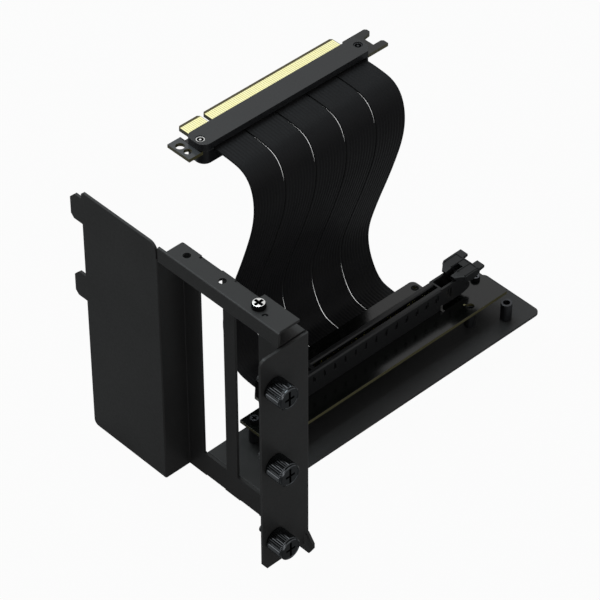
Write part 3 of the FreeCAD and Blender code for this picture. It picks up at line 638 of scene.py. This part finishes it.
edge_fingers("plug_fingers_top", 74.55 * mm, 74.6 * mm)
edge_fingers("plug_fingers_bottom", 72.9 * mm, 72.95 * mm)
slot_leaves(-1)
slot_leaves(1)
# A flat near-black ring round the ear's hole.
pad_ring("ear_hole_dark_ring", 142.6, 64.2, -38.25, 0.9 * mm, 1.75 * mm, painted_shade)
bm = bmesh.new()
block(bm, (149.8 * mm, 41.6 * mm, -38.25 * mm), (150.8 * mm, 42.6 * mm, -38.21 * mm))
finished(bm, "board_gold_pad", gold, nodes["riser_board"]["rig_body"])

# Thin near-black sheets on the slot's wall: painted shade standing for its small notches' shaded grooves.
bm = bmesh.new()
for i in range(15):
    x = (60.3 + 6.03 * i) * mm
    block(bm, (x - 0.3 * mm, 46.56 * mm, -31.7 * mm), (x + 0.3 * mm, 46.65 * mm, -29.1 * mm))
finished(bm, "slot_notch_shades", painted_shade, nodes["slot_housing"]["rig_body"])

# A near-black crescent on the ledge beside the screw, painted shade for the shaded rim of a small pressed
# mark, and the ribs on the latch's head.
bm = bmesh.new()
outer = []
inner = []
for i in range(13):
    angle = math.radians(15 * i - 45)
    outer.append(Vector((7.6 + 1.3 * math.cos(angle), 11.4 + 1.3 * math.sin(angle), 63.95)) * mm)
    inner.append(Vector((7.6 + 0.5 * math.cos(angle), 11.4 + 0.5 * math.sin(angle), 63.95)) * mm)
prism(bm, outer + inner[::-1], (0, 0, 0.1 * mm))
finished(bm, "ledge_mark_shade", painted_shade, nodes["bracket_frame"]["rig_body"])

bm = bmesh.new()
block(bm, (159.2 * mm, 43.5 * mm, -24.12 * mm), (159.7 * mm, 57.1 * mm, -23.85 * mm))
for y in (43.9, 48.2, 52.0, 56.3):
    block(bm, (151.8 * mm, y * mm, -24.12 * mm), (159.3 * mm, (y + 0.4) * mm, -23.85 * mm))
finished(bm, "latch_ribs", latch_nylon, nodes["slot_latch"]["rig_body"])


# The CAD nodes that keep their shape, with eased edges where the eye meets them.
easing = {
    "bracket_frame": 0.12 * mm,
    "base_tray": 0.12 * mm,
    "tray_standoffs": 0.2 * mm,
    "riser_board": 0.05 * mm,
    "slot_housing": 0.12 * mm,
    "slot_latch": 0.15 * mm,
    "plug_board": 0.05 * mm,
    "plug_cover_top": 0.12 * mm,
    "plug_cover_bottom": 0.12 * mm,
}
for name, (finish, slot) in finishes.items():
    if name in easing:
        eased(name, easing[name])
    elif name in ("slot_nails",):
        nodes[name].data.materials.clear()
        nodes[name].data.materials.append(finish)


# Stage: a pale floor and world that show white, and soft lamps.

def rays_that_see(tree):
    """One where a camera, glossy or transmission ray looks, which sees the pale stage."""
    path = node(tree, "ShaderNodeLightPath")
    first = node(tree, "ShaderNodeMath", {0: path.outputs["Is Camera Ray"],
                                          1: path.outputs["Is Glossy Ray"]}, operation="MAXIMUM")
    return node(tree, "ShaderNodeMath", {0: first.outputs[0],
                                         1: path.outputs["Is Transmission Ray"]}, operation="MAXIMUM")


world = bpy.data.worlds.new("Studio")
scene.world = world
world.use_nodes = True
sky = world.node_tree
sky.nodes.clear()
dim = node(sky, "ShaderNodeBackground", {"Color": linear("FFFFFF"), "Strength": 0.14})
pale = node(sky, "ShaderNodeBackground", {"Color": linear("FBFBFB"), "Strength": 1.0})
seen = rays_that_see(sky)
mix = node(sky, "ShaderNodeMixShader", {0: seen.outputs[0], 1: dim.outputs[0], 2: pale.outputs[0]})
out = node(sky, "ShaderNodeOutputWorld")
sky.links.new(mix.outputs[0], out.inputs["Surface"])

bm = bmesh.new()
bmesh.ops.create_grid(bm, x_segments=1, y_segments=1, size=3.0)
bmesh.ops.translate(bm, verts=bm.verts, vec=(0, 0, floor_z))
floor_mesh = bpy.data.meshes.new("floor")
bm.to_mesh(floor_mesh)
bm.free()
floor = bpy.data.objects.new("floor", floor_mesh)
scene.collection.objects.link(floor)
paper = bpy.data.materials.new("matt_white_paper")
paper.use_nodes = True
tree = paper.node_tree
tree.nodes.clear()
matt = node(tree, "ShaderNodeBsdfDiffuse", {"Color": linear("8C8C8C")})
glow = node(tree, "ShaderNodeEmission", {"Color": linear("FFFFFF"), "Strength": 1.0})
seen = node(tree, "ShaderNodeLightPath")
clear = node(tree, "ShaderNodeMath", {0: seen.outputs["Is Camera Ray"],
                                      1: seen.outputs["Is Transmission Ray"]}, operation="MAXIMUM")
clear = node(tree, "ShaderNodeMath", {0: clear.outputs[0], 1: 0.963}, operation="MULTIPLY")
gloss = node(tree, "ShaderNodeMath", {0: seen.outputs["Is Glossy Ray"], 1: 0.12},
             operation="MULTIPLY")
share = node(tree, "ShaderNodeMath", {0: clear.outputs[0], 1: gloss.outputs[0]},
             operation="MAXIMUM")
mix = node(tree, "ShaderNodeMixShader", {0: share.outputs[0], 1: matt.outputs[0], 2: glow.outputs[0]})
out = node(tree, "ShaderNodeOutputMaterial")
tree.links.new(mix.outputs[0], out.inputs["Surface"])
floor_mesh.materials.append(paper)


def lamp(name, at, aim, size, power, color="FFFFFF"):
    """A soft square lamp that looks at a point."""
    data = bpy.data.lights.new(name, "AREA")
    data.shape = "SQUARE"
    data.size = size
    data.energy = power
    data.color = linear(color)[:3]
    made = bpy.data.objects.new(name, data)
    made.location = at
    made.rotation_euler = (Vector(aim) - Vector(at)).to_track_quat("-Z", "Y").to_euler()
    scene.collection.objects.link(made)
    return made


middle = (0.08, 0.05, 0.0)
lamp("lamp_above", (0.05, 0.6, 1.2), middle, 0.7, 9, "EEFBFF")
lamp("lamp_near", (0.2, -0.8, 1.0), middle, 0.7, 0.8)
lamp("lamp_front", (-0.5, -1.1, 0.1), middle, 0.8, 4)
lamp("lamp_left", (-0.7, 0.6, 0.7), (0, 0, 0), 0.4, 1.1)
